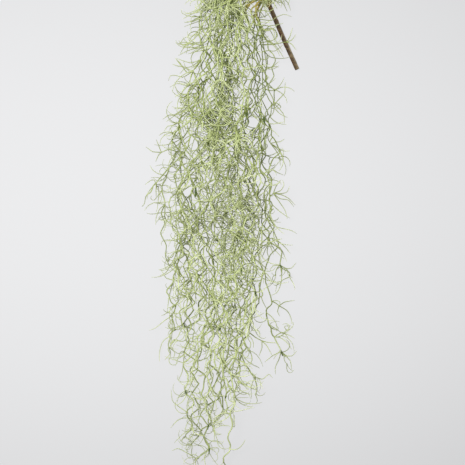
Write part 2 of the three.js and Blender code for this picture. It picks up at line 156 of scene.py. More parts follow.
# Leaves that stand out at the edges, some across the stick: where they grow, the rest of their twig if they have
# one, and each leaf's points
BRANCHES = [
    ((-1, 32), [], [[(9, 34), (17, 29), (27, 25), (38, 28)]]),
    ((-2, 40), [], [[(7, 41), (17, 40), (26, 37)]]),
    ((-2, 49), [], [[(5, 45), (14, 47), (18, 54), (13, 63)]]),
    ((4, 66), [(14, 66), (24, 64), (31, 63)], [[(38, 60), (44, 52)], [(35, 56), (39, 43)], [(38, 66), (44, 74)]]),
    ((-7, 47), [
        (-1, 56), (4, 64), (5, 73), (12, 80), (15, 89), (10, 99), (13, 110), (6, 122), (6, 131), (11, 141),
        (14, 150),
    ], [
        [(21, 142), (28, 134), (29, 119)], [(20, 156), (27, 165), (28, 177)], [(12, 162), (6, 170)],
    ]),
    ((-7, 47), [(3, 98), (1, 101)], [[(-5, 105), (-12, 104)], [(12, 96), (20, 90)]]),
    ((-6, 53), [], [[(3, 45), (14, 46), (17, 55), (14, 62)]]),
    ((-3, 60), [], [[(6, 62), (14, 67), (21, 76), (27, 86)]]),
    ((-2, 74), [], [[(4, 76), (14, 76), (26, 67)]]),
    ((-4, 44), [], [[(7, 47), (15, 61), (25, 76)]]),
    ((9, 198), [(7, 203), (8, 206)], [
        [(15, 204), (22, 203), (28, 199)], [(17, 211), (27, 216), (35, 216)],
        [(16, 216), (21, 225), (22, 237)], [(19, 215), (24, 223), (27, 231)],
    ]),
    ((5, 247), [], [[(11, 243), (18, 247), (26, 250)]]),
    ((6, 282), [(11, 277)], [
        [(22, 277), (30, 275), (34, 267)], [(15, 267), (22, 258)], [(21, 273), (26, 265), (24, 258)],
        [(23, 279), (33, 284), (42, 293)], [(20, 284), (32, 286), (40, 295)], [(22, 292), (28, 301), (31, 312)],
    ]),
    ((5, 340), [(10, 339)], [[(20, 344), (29, 352), (36, 361)], [(14, 346), (24, 356), (31, 372)]]),
    ((-3, 330), [(2, 338), (5, 346)], [
        [(8, 352), (12, 362)], [(0, 356), (-4, 366)], [(12, 348), (22, 352)], [(3, 358), (6, 368)],
        [(-5, 351), (-12, 359)], [(13, 342), (24, 340)],
    ]),
    ((22, 378), [], [
        [(12, 378), (7, 384)], [(32, 384), (33, 391), (39, 395)], [(24, 392), (22, 406), (17, 416), (9, 420)],
        [(31, 382), (38, 381), (44, 374)],
    ]),
    ((10, 425), [(15, 430), (20, 434)], [
        [(28, 429), (42, 427)], [(31, 441), (36, 449), (39, 460)], [(18, 442), (21, 449)],
    ]),
    ((10, 475), [], [[(22, 473), (32, 475), (42, 480)], [(21, 479), (31, 486), (38, 496)]]),
    ((-24, 472), [(-13, 479), (-4, 484)], [
        [(3, 491), (10, 504)], [(4, 486), (17, 487)], [(-4, 494), (-8, 505)],
    ]),
    ((24, 500), [], [
        [(31, 505), (39, 505), (45, 498)], [(30, 506), (36, 512), (38, 524)], [(20, 510), (15, 521), (15, 531)],
        [(11, 505), (0, 514)],
    ]),
    ((-13, 536), [], [[(-3, 538), (6, 531), (11, 536)]]),
    ((-101, 74), [], [[(-111, 70), (-119, 64), (-114, 57), (-104, 52)]]),
    ((-92, 74), [], [[(-100, 73), (-108, 75), (-122, 81)], [(-101, 79), (-104, 86), (-102, 94), (-96, 101)]]),
    ((-97, 90), [], [[(-104, 92), (-114, 89), (-126, 85)], [(-103, 97), (-112, 99), (-120, 107)]]),
    ((-98, 104), [], [[(-106, 103), (-118, 96), (-125, 87)]]),
    ((-104, 112), [(-109, 107), (-116, 98)], [[(-120, 92), (-126, 86)], [(-122, 97), (-130, 94)]]),
    ((-104, 112), [], [
        [(-115, 113), (-125, 110), (-133, 110), (-136, 117)], [(-109, 124), (-124, 121), (-134, 126)],
    ]),
    ((-125, 210), [(-136, 214), (-146, 218)], [
        [(-158, 217), (-168, 210)], [(-150, 222), (-154, 231)], [(-149, 210), (-153, 200)],
    ]),
    ((-118, 172), [], [[(-126, 168), (-134, 166), (-144, 172)]]),
    ((-120, 182), [], [[(-130, 180), (-137, 181), (-142, 188)]]),
    ((-146, 262), [], [[(-157, 266), (-165, 276), (-166, 284)], [(-153, 271), (-153, 281)]]),
    ((-144, 285), [(-146, 304), (-141, 318), (-147, 332), (-139, 349), (-140, 365), (-134, 379)], [
        [(-127, 386), (-125, 396)], [(-140, 388), (-148, 392)],
    ]),
    ((-132, 403), [], [[(-139, 395), (-146, 384)], [(-135, 422), (-138, 446)]]),
    ((-129, 450), [], [[(-131, 474), (-134, 496)]]),
    ((-126, 492), [], [[(-133, 501), (-141, 511)], [(-127, 500), (-129, 509)]]),
    ((-119, 504), [], [[(-115, 518), (-117, 529), (-122, 540)]]),
    ((-119, 580), [], [[(-129, 568), (-132, 552)]]),
    ((-108, 595), [], [[(-116, 593), (-124, 597), (-133, 607)]]),
    ((-108, 618), [], [[(-113, 618), (-119, 624)]]),
    ((-108, 640), [], [[(-122, 636), (-131, 639)]]),
    ((-144, 285), [], [[(-156, 289), (-164, 293), (-170, 300)], [(-148, 298), (-153, 309), (-154, 320)]]),
]

STEM_RINGS, CROWN_RINGS = (170, 28), (40, 36)  # along and around
STEM_SCARS = 17
CROWN_BULGE = [(0, 0.62), (0.12, 0.8), (0.3, 0.97), (0.5, 1.0), (0.72, 0.92), (0.9, 0.66), (1, 0.4)]
ARM_WIDTHS = [(0, 2.6), (0.45, 2.3), (0.62, 1.75), (1, ARM_RADIUS)]
TUFT_LEAVES = 100
SHEATHS, SHEATH_LENGTH = 9, (6, 11)
# across, down and up from the surface
OCHRE_SHEATHS = [
    [(-2, 8, 27), (-7, 12, 28), (-13, 16, 26)],
    [(0, 9, 24), (-4, 16, 25), (-7, 24, 22), (-9, 32, 18)],
    [(6, 2, 28), (11, 5, 29), (14, 9, 27)],
    [(-10, 0, 26), (-20, 5, 28), (-28, 12, 26)],
]
RIGHT_ARCS = [
    [(5, 0, 25), (17, 5, 30), (26, 13, 27), (31, 22, 20)],
    [(5, -3, 25), (22, 2, 28), (32, 10, 23), (36, 20, 16)],
    [(5, 4, 25), (14, 7, 29), (21, 15, 26)],
    [(4, 6, 24), (12, 11, 27), (17, 19, 23)],
    [(5, -4, 26), (15, -2, 32), (24, 5, 31), (28, 14, 26)],
]
HEADROOM = 1.5  # how far inside the frame's box the extra leaves stay
# down from the crown, and how far leaves reach to the left and to the right
SPILL = [
    (0, -118, 40), (90, -130, 46), (180, -142, 36), (260, -168, 38), (320, -148, 44), (440, -140, 42),
    (535, -136, 43), (570, -132, 0), (600, -128, -30), (660, -118, -44),
]

# Places where the bunch opens or thickens: across, down, how far to each side, how far along, and by how much
SPOTS = np.array([
    (-18, 17, 12, 12, -1.0), (-88, 14, 14, 12, -0.7), (-63, 15, 11, 12, -0.5), (-81, 80, 12, 18, -1.0),
    (-83, 123, 14, 28, -1.4), (-6, 129, 14, 36, -1.0), (-18, 150, 13, 20, -0.5), (6, 118, 10, 22, -0.8),
    (-2, 84, 11, 34, -0.9), (-106, 163, 14, 14, -0.9), (-81, 196, 12, 14, -0.6), (-102, 215, 12, 26, -0.9),
    (-102, 265, 12, 18, -0.9), (-81, 359, 13, 25, -1.4), (-18, 418, 13, 26, -1.4), (-102, 432, 12, 30, -0.9),
    (3, 298, 12, 22, -0.7), (3, 432, 12, 16, -0.5), (-123, 212, 12, 18, -0.4), (-39, 486, 12, 22, -1.0),
    (-102, 531, 12, 24, -0.7), (-60, 551, 13, 34, -1.5), (-81, 604, 12, 16, -1.0), (-105, 112, 12, 34, 1.6),
    (-99, 78, 11, 14, 1.0), (-39, 141, 13, 20, 1.4), (-39, 314, 12, 34, 1.6), (-60, 190, 12, 24, 0.5),
    (-39, 381, 11, 25, 0.7), (-81, 258, 12, 12, 0.4), (-126, 476, 14, 34, 1.3), (-39, 558, 12, 28, 1.3),
    (-18, 518, 12, 24, 1.0), (-16, 547, 12, 18, 0.8), (-91, 643, 20, 20, 0.8),
], float)
OPEN = -0.7  # no leaf crosses a spot that is barer than this

UP = np.array([0.0, 0.0, 1.0])
NORTH = np.array([0.0, 1.0, 0.0])
EAST = np.array([1.0, 0.0, 0.0])

# ---- Small helpers ----


def mix(a, b, t):
    return a + (b - a) * t


def smooth(t):
    t = np.clip(t, 0, 1)
    return t * t * (3 - 2 * t)


def eased(value, start, span):
    """Rises smoothly from 0 at the start to 1 a span further on, or further back if the span is below 0."""
    return smooth((value - start) / span)


def unit(v):
    return v / np.sqrt((v * v).sum(-1, keepdims=True))


def squared(v, axis):
    """The part of v that lies square to an axis, made one long."""
    return unit(v - axis * (v * axis).sum(-1, keepdims=True))


def cross(a, b):
    """For single vectors: quicker than numpy's."""
    return np.array([
        a[1] * b[2] - a[2] * b[1],
        a[2] * b[0] - a[0] * b[2],
        a[0] * b[1] - a[1] * b[0],
    ])


def swung(a, b, angle):
    """The direction at an angle from a, towards b."""
    return a * math.cos(angle) + b * math.sin(angle)


def turned(v, axis, angle):
    """v turned about an axis that is one long."""
    return swung(v, cross(axis, v), angle) + axis * (float(axis @ v) * (1 - math.cos(angle)))


def way(bearing, rise):
    level = math.cos(rise)
    return np.array([math.cos(bearing) * level, math.sin(bearing) * level, math.sin(rise)])


def lift(points, least):
    """Raises points that are below a height."""
    points[..., 2] = np.maximum(points[..., 2], least)


def steps(points):
    return np.linalg.norm(np.diff(points, axis=0), axis=1)


def distances(points):
    """How far along a line each of its points is."""
    return np.concatenate([[0], np.cumsum(steps(points))])


def stream(*keys):
    """A repeatable stream of numbers from 0 to 1, one for each set of keys, as in the source."""
    state = SEED
    for key in keys:
        state = (state + key * 2654435) % 4294967296
        for _ in range(2):
            state = (state * 1664525 + 1013904223) % 4294967296

    def draw():
        nonlocal state
        state = (state * 1664525 + 1013904223) % 4294967296
        return state / 4294967296

    return draw


def between(draw, low_high):
    return mix(*low_high, draw())


def either_way(draw, width):
    """Up to half a width to either side of 0."""
    return (draw() - 0.5) * width


def profile(values_by_place, at):
    """A value by distance, from a short list of (distance, value)."""
    places, values = zip(*values_by_place)
    return np.interp(at, places, values)


def outline_at(down):
    i = np.searchsorted(OUTLINE[1:-1, 0], down, side="left")
    a, b = OUTLINE[i], OUTLINE[i + 1]
    t = smooth((down - a[..., 0]) / (b[..., 0] - a[..., 0]))
    return [mix(a[..., n], b[..., n], t) for n in (1, 2, 3)]


def frames_along(lines, up=None):
    """Which way lines of (..., points, 3) run, and two directions across that turn no more than the lines do."""
    along = np.empty_like(lines)
    along[..., 1:-1, :] = lines[..., 2:, :] - lines[..., :-2, :]
    along[..., 0, :] = lines[..., 1, :] - lines[..., 0, :]
    along[..., -1, :] = lines[..., -1, :] - lines[..., -2, :]
    along = unit(along)
    if up is None:
        up = np.where(np.abs(along[..., 0, 2:]) < 0.8, UP, EAST)
    normals = []
    for k in range(lines.shape[-2]):
        up = squared(up, along[..., k, :])
        normals.append(up)
    normals = np.stack(normals, axis=-2)
    return along, normals, np.cross(along, normals)


# ---- The layout, as the source lays it ----

crown_centre = np.array([0.0, 0.0, CROWN_HEIGHT])
stem_foot = np.array([*STEM_FOOT, 0.0])
stem_reach = float(np.linalg.norm(stem_foot))
stem_bearing = math.atan2(stem_foot[1], stem_foot[0])


def stem_at(share):
    """The stick's middle line, from its cut end (0) to the crown's centre (1)."""
    share = np.asarray(share, float)
    climb = smooth(np.maximum(0, share * stem_reach - STEM_FLAT) / (2 * (stem_reach - STEM_FLAT)))
    points = (1 - share)[..., None] * stem_foot
    points[..., 2] = STEM_RADIUS + 2 * climb * (CROWN_HEIGHT - STEM_RADIUS)
    return points


stem_axis = unit(crown_centre - stem_at(0.94))


def side_of(strand):
    if abs(strand["place"]) < MIDDLE:
        return "middle"
    return "left" if strand["place"] < 0 else "right"


def plan_sprays():
    sprays = []
    for count, level, rise, breadth in TIERS:
        for i in range(count):
            number = len(sprays)
            bearing = mix(ARM_NEAR, ARM_FAR, (i + 0.5) / count)
            direction = way(math.radians(bearing), math.radians(rise))
            arm_end = crown_centre + direction * ARM_REACH
            start = arm_end + direction * GAP
            strand_count = 4 if number % 3 == 0 else 3
            strands = []
            for k in range(strand_count):
                even = 1 - 2 * (i + (k + 0.5) / strand_count) / count
                strands.append({
                    "key": (number, k),
                    "place": breadth * np.sign(even) * abs(even) ** SPREADING,
                    "level": level + (0.07 if k % 2 else -0.05) + (0.05 if i % 2 else -0.03),
                    "aside": 0,
                })
            sprays.append({
                "number": number,
                "direction": direction,
                "arm_end": arm_end,
                "start": start,
                "fork": start + direction * STALK_LENGTH,
                "strands": strands,
            })
    draw = stream(1)
    for side, ends in ENDS.items():
        group = [s for spray in sprays for s in spray["strands"] if side_of(s) == side]
        order = np.argsort([draw() for _ in group], kind="stable")
        for i, n in enumerate(order):
            group[n]["reach"] = mix(*ends, ((i + 0.5) / len(group)) ** THINNING)
    for spray, strand, reach, aside in STRAYS:
        sprays[spray]["strands"][strand].update(reach=reach, aside=aside)
    return sprays


def lane_at(strand, down):
    """A strand's own lane, at some distances down the bunch, before it wanders."""
    down = np.asarray(down, float)
    middle, half, height = outline_at(down)
    dome = math.sqrt(1 - 0.7 * strand["place"] ** 2)
    astray = np.zeros_like(down)
    if strand["aside"]:
        astray = smooth(1 - (strand["reach"] - down) / STRAY_LENGTH)
    rise = max(0, strand["level"]) * height * dome * (1 - 0.5 * astray)
    x = middle + strand["place"] * half + strand["aside"] * astray
    return np.stack([x, -down, LIFT + rise], axis=-1)


def wandering(draw):
    """A slow wandering off the lane, which grows along the strand."""
    phases = [2 * math.pi * draw() for _ in range(3)]
    lengths = [between(draw, (0.8, 1.25)) * SWAY_LENGTH for _ in range(2)]

    def ripple(down, length, phase):
        return np.sin(2 * math.pi * down / length + phase)

    def wander(down, grown):
        size = SWAY * smooth(grown / 90)
        x = ripple(down, lengths[0], phases[0]) + 0.45 * ripple(down, 0.42 * lengths[0], phases[1])
        z = 0.55 * size * ripple(down, lengths[1], phases[2])
        return np.stack([size * x, np.zeros_like(z), z], axis=-1)

    return wander


def arching_line(spray, strand, side):
    """The middle line of a strand that leaves the spray's stalk and arches over to its lane."""
    heading = turned(spray["direction"], UP, side * math.radians(FORK_SPREAD)) * [1, 1, 0.4]
    entry = lane_at(strand, ENTRY)
    far = (1 - strand["place"]) / 2
    ends = [
        spray["fork"],
        spray["fork"] + heading * mix(*ARCH_OUT, far),
        entry + NORTH * mix(*ARCH_BACK, far),
        entry,
    ]

    def arch(t):
        t = np.clip(t, 0, 1)[:, None]
        s = 1 - t
        return s**3 * ends[0] + 3 * s * s * t * ends[1] + 3 * s * t * t * ends[2] + t**3 * ends[3]

    length = float(steps(arch(np.linspace(0, 1, 201))).sum())

    def at(along, wander):
        down = ENTRY + along - length
        hanging = lane_at(strand, np.maximum(down, ENTRY)) + wander(down, down - ENTRY)
        return np.where((along < length)[:, None], arch(along / length), hanging)

    return spray["fork"] - spray["direction"] * 1.5, length + strand["reach"] - ENTRY, at


def forking_line(strand, knot):
    """The middle line of a strand that forks off another at one of its knots and parts from it slowly."""
    top = -knot[1]
    offset = knot - lane_at(strand, top)

    def at(along, wander):
        together = (1 - smooth(along / SECOND_MERGE))[:, None]
        return lane_at(strand, top + along) + offset * together + wander(top + along, along)

    return knot, strand["reach"] - top, at


def lay_knots(line, draw):
    """The strand's knots: each stands off the middle line, to one side and then to the other."""
    start, length, at = line
    wander = wandering(draw)
    first = 2 * math.pi * draw()
    along, draws = [PITCH * 0.8], []
    while along[-1] < length:
        draws.append((draw(), draw(), draw()))
        along.append(along[-1] + PITCH * mix(0.75, 1.25, draws[-1][2]))
    along, draws = np.array(along[:-1]), np.array(draws)
    heading = unit(at(along + 1, wander) - at(along - 1, wander))
    level = unit(np.cross(heading, UP))
    raised = np.cross(level, heading)
    angle = (first + np.arange(1, len(along) + 1) * math.pi + (draws[:, 0] - 0.5) * 1.9)[:, None]
    out = level * np.cos(angle) + raised * (0.7 * np.sin(angle))
    knots = at(along, wander) + out * (WAVE * mix(0.6, 1.3, draws[:, 1]) * smooth(along / 60))[:, None]
    lift(knots, STRAND_RADIUS)
    return np.vstack([start, knots]), np.vstack([UP, unit(out)])


# ---- Keeping clear ----


class Taken:
    """Every stretch laid so far, with its ends, its radius and the number of what it belongs to."""

    def __init__(self, size=9000):
        self.count = 0
        self.p, self.q = np.zeros((size, 3)), np.zeros((size, 3))
        self.radius, self.owner = np.zeros(size), np.zeros(size, int)

    def add(self, points, radii, owner):
        end = self.count + len(points) - 1
        new = slice(self.count, end)
        self.p[new], self.q[new] = points[:-1], points[1:]
        self.radius[new], self.owner[new] = spread_radii(radii, len(points) - 1), owner
        self.count = end

    def room(self, points, radii, owner, own, count=None):
        """The least room from a line to the stretches of one owner, or to those of all others, or FAR."""
        used = slice(0, count or self.count)
        mask = (self.owner[used] == owner) == own
        p, q, radius = self.p[used][mask], self.q[used][mask], self.radius[used][mask]
        mine_p, mine_q = points[:-1], points[1:]
        mine_radius = spread_radii(radii, len(mine_p))
        middles = np.linalg.norm((mine_p + mine_q)[:, None] / 2 - (p + q)[None] / 2, axis=2)
        most = middles - mine_radius[:, None] - radius[None]
        lengths = np.linalg.norm(mine_q - mine_p, axis=1)[:, None] + np.linalg.norm(q - p, axis=1)[None]
        i, j = np.nonzero(most - lengths / 2 <= most.min(initial=FAR))
        gaps = segment_gaps(mine_p[i], mine_q[i], p[j], q[j]) - mine_radius[i] - radius[j]
        return gaps.min(initial=FAR)


def spread_radii(radii, count):
    """A radius for each stretch. The last of them serves for the rest."""
    return np.array([radii[min(i, len(radii) - 1)] for i in range(count)])


def segment_gaps(p, q, r, s):
    """Least distances between the segments p-q and r-s."""
    def dot(u, v):
        return (u * v).sum(-1)

    d1, d2, apart = q - p, s - r, p - r
    a, b, c, e, f = dot(d1, d1), dot(d1, d2), dot(d1, apart), dot(d2, d2), dot(d2, apart)
    spread = a * e - b * b
    crossing = spread > 1e-9
    first = np.where(crossing, np.clip((b * f - c * e) / np.where(crossing, spread, 1), 0, 1), 0)
    u = np.clip((b * first + f) / e, 0, 1)
    t = np.clip((b * u - c) / a, 0, 1)
    return np.linalg.norm(p + d1 * t[:, None] - r - d2 * u[:, None], axis=1)


def past_root(points, share):
    """A line without the beginning of its first stretch, where it grows out of its own spray."""
    moved = points.copy()
    moved[0] = mix(points[0], points[1], share)
    return moved


def lay_strand(taken, strand, line):
    spray = strand["key"][0]
    best_room, best = -math.inf, None
    slack = STRAND_ROOM - STRAND_APART
    for attempt in range(STRAND_TRIES):
        if best_room >= STRAND_ROOM:
            break
        laid = lay_knots(line, stream(2, *strand["key"], attempt))
        room = taken.room(laid[0], [STRAND_RADIUS], spray, own=False)
        if room <= best_room:
            continue
        room = min(room, slack + taken.room(past_root(laid[0], 0.8), [STRAND_RADIUS], spray, own=True))
        if room > best_room:
            best_room, best = room, laid
    strand["knots"], strand["outward"] = best
    strand["frames"] = frames_along(strand["knots"])
    taken.add(strand["knots"], [STRAND_RADIUS], spray)


def lay_strands(taken, spray):
    first, second, third, *fourth = spray["strands"]

    def fork_off(strand, parent):
        latest = min(SECOND_TO, strand["reach"] - SECOND_SHORTEST)
        down = mix(SECOND_FROM, latest, stream(3, *parent["key"])())
        index = next(i for i, knot in enumerate(parent["knots"]) if -knot[1] > down)
        strand["fork"] = parent, index
        lay_strand(taken, strand, forking_line(strand, parent["knots"][index]))

    lay_strand(taken, first, arching_line(spray, first, 1))
    lay_strand(taken, third, arching_line(spray, third, -1))
    fork_off(second, first)
    for strand in fourth:
        fork_off(strand, third)


def source_leaf(strand, j, draw):
    """A leaf that the frame has too: its root, the middle of its arc and its tip, and which way its arc bends."""
    normal, side = strand["frames"][1][j], strand["frames"][2][j]
    onward = unit(strand["knots"][j + 1] - strand["knots"][j])
    out = strand["outward"][j]
    wanted = math.atan2(out @ side, out @ normal) + math.radians(either_way(draw, 170))
    third = 2 * math.pi / 3
    square = math.pi + third * math.floor((wanted - math.pi) / third + 0.5)
    angle = square + min(max(wanted - square, -0.75), 0.75)
    direction = squared(swung(normal, side, angle), onward)
    direction = swung(direction, onward, math.radians(between(draw, (-25, 55))))
    axis = turned(unit(cross(direction, onward)), direction, math.radians(either_way(draw, 140)))
    curl = (-1 if draw() < 0.5 else 1) * math.radians(between(draw, (18, 58)))
    half = between(draw, (LEAF_SHORTEST, LEAF_LONGEST)) / 2
    root = strand["knots"][j] + onward * (LEAF_FOOT / 2)
    bend = root + direction * half
    lift(bend, LEAF_RADIUS)
    tip = bend + turned(direction, axis, curl) * half
    lift(tip, 0)
    points = np.array([root, bend, tip])
    return {"points": points, "direction": direction, "axis": axis, "curl": curl, "half": half}


def lay_source_leaves(taken, strand):
    radii, spray = [LEAF_ROOT_RADIUS, LEAF_RADIUS], strand["key"][0]
    strand["leaves"] = {}
    for j in range(1, len(strand["knots"]) - 1):
        if stream(4, *strand["key"], j)() > LEAF_SHARE:
            continue
        for attempt in range(LEAF_TRIES):
            leaf = source_leaf(strand, j, stream(5, *strand["key"], j, attempt))
            if taken.room(past_root(leaf["points"], 0.3), radii, spray, own=True) < LEAF_APART:
                continue
            if taken.room(leaf["points"], radii, spray, own=False) < CLEAR:
                continue
            taken.add(leaf["points"], radii, spray)
            strand["leaves"][j] = leaf
            break


def lay_bunch():
    sprays = plan_sprays()
    taken = Taken()
    knob = np.array([crown_centre + stem_axis * (share * CROWN_LENGTH) for share in (-0.4, 0.4)])
    taken.add(stem_at([0, 0.25, 0.5, 0.75, 1]), [STEM_RADIUS + GAP], STEM_OWNER)
    taken.add(knob, [CROWN_RADIUS], CROWN_OWNER)
    for spray in sprays:
        taken.add(np.array([crown_centre, spray["arm_end"]]), [ARM_RADIUS * 1.25], CROWN_OWNER)
        taken.add(np.array([spray["arm_end"], spray["fork"]]), [STALK_RADIUS], spray["number"])
    for spray in sprays:
        lay_strands(taken, spray)
    strands = [strand for spray in sprays for strand in spray["strands"]]
    strands_only = taken.count
    for strand in strands:
        lay_source_leaves(taken, strand)
    return sprays, strands, taken, strands_only


def widen_waves(strands):
    """Brings the waves' knots a little further out, to the side, than the frame's clearances let them stand."""
    for strand in sorted(strands, key=lambda strand: "fork" in strand):
        knots = strand["knots"]
        side = unit(np.cross(UP, np.gradient(knots, axis=0)))
        size = WIDENING * np.minimum(1, np.arange(len(knots)) / 3) * np.sign((strand["outward"] * side).sum(1))
        moves = side * size[:, None]
        if "fork" in strand:
            parent, index = strand["fork"]
            moves[0] = parent["moves"][index]
        strand["moves"] = moves
        strand["knots"] = knots + moves
        for j, leaf in strand["leaves"].items():
            leaf["points"] = leaf["points"] + moves[j]


sprays, strands, taken, strands_only = lay_bunch()
widen_waves(strands)

# ---- From the layout to the frame ----


def frame_shift():
    """How far the layout is moved: the stick's cut end is the part's furthest to the right."""
    corner_radius = STEM_RADIUS / math.cos(math.pi / STEM_SIDES)
    along = unit(stem_at(1 / 12) - stem_at(0))
    normal = squared(UP, along)
    side = cross(along, normal)
    angles = ((2 * np.arange(STEM_SIDES) + 1) / STEM_SIDES - 1) * math.pi
    ring = stem_at(0) + corner_radius * (np.cos(angles)[:, None] * normal + np.sin(angles)[:, None] * side)
    low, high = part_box("stem")
    return np.array([high.x * 1000 - ring[:, 0].max(), low.y * 1000 - ring[:, 1].min(), low.z * 1000])


SHIFT = frame_shift()
LOW, HIGH = (np.array(corner) * 1000 - SHIFT for corner in CAD_BOX)


def add_object(name, data):
    made = bpy.data.objects.new(name, data)
    bpy.context.scene.collection.objects.link(made)
    return made


# ---- Tubes ----


class Shape:
    """Gathers the corners and faces of a piece, and what its material reads at each corner."""

    def __init__(self):
        self.corners, self.tints, self.quads, self.triangles = [], [], [], []
        self.quad_slots, self.triangle_slots = [], []
        self.count = 0

    def tube(self, line, radii, ring, **looks):
        self.tubes(line[None], radii, ring, **looks)

    def tubes(self, lines, radii, ring, pale=0.0, tone=0.5, warm=0.0, slot=0, up=None, blunt=False):
        """Closed tubes along lines of (n, rings, 3), with radii, and tints from 0 to 1, by line and ring."""
        n, rings = lines.shape[:2]
        along, normals, sides = frames_along(lines, up)
        angle = 2 * math.pi * np.arange(ring)[:, None] / ring
        out = normals[:, :, None] * np.cos(angle) + sides[:, :, None] * np.sin(angle)
        radii = np.broadcast_to(radii, (n, rings))
        rims = lines[:, :, None] + out * radii[:, :, None, None]
        ends = np.stack([lines[:, 0], lines[:, -1] + along[:, -1] * radii[:, -1:] * (0 if blunt else 0.8)], axis=1)
        corners = np.concatenate([rims.reshape(n, rings * ring, 3), ends], axis=1)

        tints = np.stack([np.broadcast_to(v, (n, rings)) for v in (pale, tone, warm)], axis=-1)
        tints = np.concatenate([np.repeat(tints, ring, axis=1), tints[:, [0, -1]]], axis=1)

        around = np.arange(ring)
        onward = (around + 1) % ring
        rows = np.arange(rings - 1)[:, None] * ring
        quads = np.stack([rows + around, rows + onward, rows + ring + onward, rows + ring + around], axis=-1)
        last, hub = (rings - 1) * ring, np.full(ring, rings * ring)
        caps = np.concatenate([
            np.stack([onward, around, hub], axis=-1),
            np.stack([last + around, last + onward, hub + 1], axis=-1),
        ])
        bases = self.count + np.arange(n)[:, None, None] * corners.shape[1]
        quads, caps = (quads.reshape(-1, 4) + bases).reshape(-1, 4), (caps + bases).reshape(-1, 3)
        self.corners.append(corners.reshape(-1, 3))
        self.tints.append(tints.reshape(-1, 3))
        self.quads.append(quads)
        self.triangles.append(caps)
        self.quad_slots.append(np.full(len(quads), slot))
        self.triangle_slots.append(np.full(len(caps), slot))
        self.count += n * corners.shape[1]

    def build(self, name, materials):
        corners = (np.concatenate(self.corners) + SHIFT) / 1000
        lift(corners, 0)
        quads, triangles = np.concatenate(self.quads), np.concatenate(self.triangles)
        mesh = bpy.data.meshes.new(name)
        mesh.from_pydata(corners.tolist(), [], quads.tolist() + triangles.tolist())
        slots = np.concatenate(self.quad_slots + self.triangle_slots)
        mesh.polygons.foreach_set("material_index", slots.astype(np.int32))
        mesh.shade_smooth()
        tint = mesh.attributes.new("tint", "FLOAT_COLOR", "POINT")
        rgba = np.pad(np.concatenate(self.tints), ((0, 0), (0, 1)), constant_values=1)
        tint.data.foreach_set("color", rgba.astype(np.float32).ravel())
        for material in materials:
            mesh.materials.append(material)
        return add_object(name, mesh)


def first_tube(gathered, rings, ring):
    """What a shape gathered at the corners of its first tube, ring by ring."""
    return gathered[0][:rings * ring].reshape(rings, ring, 3)


# ---- Materials ----


class Paint:
    """A node material with a Principled shader, and short ways to add what feeds it."""

    def __init__(self, name):
        self.material = bpy.data.materials.new(name)
        self.material.use_nodes = True
        self.nodes, self.links = self.material.node_tree.nodes, self.material.node_tree.links
        self.shader = self.nodes["Principled BSDF"]
        self.place = self.node("ShaderNodeTexCoord").outputs["Object"]

    def feed(self, node, inputs):
        """Sets a node's inputs: each is a value, or the output of another node."""
        for key, value in inputs.items():
            if isinstance(value, bpy.types.NodeSocket):
                self.links.new(value, node.inputs[key])
            else:
                node.inputs[key].default_value = value

    def node(self, kind, inputs=None, **settings):
        made = self.nodes.new(kind)
        for name, value in settings.items():
            setattr(made, name, value)
        self.feed(made, inputs or {})
        return made

    def mapped(self, **inputs):
        return self.node("ShaderNodeMapping", {"Vector": self.place, **inputs}).outputs["Vector"]

    def noise(self, scale, detail=3.0, rough=0.55, place=None):
        inputs = {"Vector": place or self.place, "Scale": scale, "Detail": detail, "Roughness": rough}
        return self.node("ShaderNodeTexNoise", inputs).outputs["Fac"]

    def ramp(self, factor, *stops):
        made = self.node("ShaderNodeValToRGB", {"Fac": factor})
        elements = made.color_ramp.elements
        while len(elements) < len(stops):
            elements.new(0.5)
        for element, (position, colour) in zip(elements, stops):
            element.position, element.color = position, colour
        return made.outputs["Color"]

    def range(self, value, low, high, to_low=0.0, to_high=1.0):
        inputs = {"Value": value, "From Min": low, "From Max": high, "To Min": to_low, "To Max": to_high}
        return self.node("ShaderNodeMapRange", inputs).outputs["Result"]

    def blend(self, factor, first, second):
        """From one colour to another."""
        return self.node("ShaderNodeMix", {"Factor": factor, 6: first, 7: second}, data_type="RGBA").outputs[2]

    def work_out(self, operation, first, second):
        return self.node("ShaderNodeMath", {0: first, 1: second}, operation=operation).outputs["Value"]

    def times(self, first, second):
        return self.work_out("MULTIPLY", first, second)

    def tint(self):
        """What the mesh says at each corner: how pale, which tone, how warm."""
        colour = self.node("ShaderNodeAttribute", attribute_name="tint").outputs["Color"]
        parts = self.node("ShaderNodeSeparateColor", {"Color": colour}).outputs
        return parts["Red"], parts["Green"], parts["Blue"]

    def finish(self, colour, roughness, specular, bump=None):
        """Feeds the shader. A bump is its height, its strength and its depth in metres."""
        self.feed(self.shader, {"Base Color": colour, "Roughness": roughness, "Specular IOR Level": specular})
        if bump:
            made = self.node("ShaderNodeBump", dict(zip(("Height", "Strength", "Distance"), bump)))
            self.feed(self.shader, {"Normal": made.outputs["Normal"]})
        return self.material


def srgb(*values):
    """A colour as it looks on screen, from 0 to 255, for a shader."""
    shares = [v / 255 for v in values]
    return (*(v / 12.92 if v <= 0.04045 else ((v + 0.055) / 1.055) ** 2.4 for v in shares), 1)


